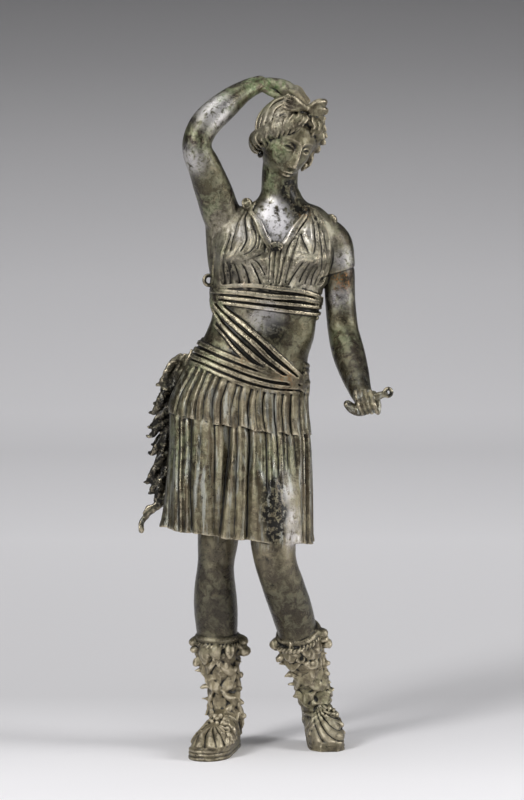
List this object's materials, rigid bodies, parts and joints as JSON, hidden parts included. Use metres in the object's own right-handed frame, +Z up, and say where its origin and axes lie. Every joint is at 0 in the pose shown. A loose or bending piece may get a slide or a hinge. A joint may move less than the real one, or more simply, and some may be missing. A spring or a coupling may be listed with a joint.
{
  "type": "ancient goddess statuette",
  "caption": "Cast bronze statuette of a huntress goddess in a short pleated gown and tall boots, one hand raised to her crown, a broken bow stub in the other.",
  "frame": {"origin": "middle of the figure's bounding box, at the height of its soles", "axes": "+Z up from the soles to the raised wrist; she faces -Y, so her raised right arm is towards -X"},
  "size_m": [0.1084, 0.0576, 0.2898],
  "materials": {
    "bronze": "dark olive-brown patina, rubbed bright on the high places, fine pitting"
  },
  "bodies": {
    "root": {"goddess_statuette": "bronze"}
  },
  "joints": []
}
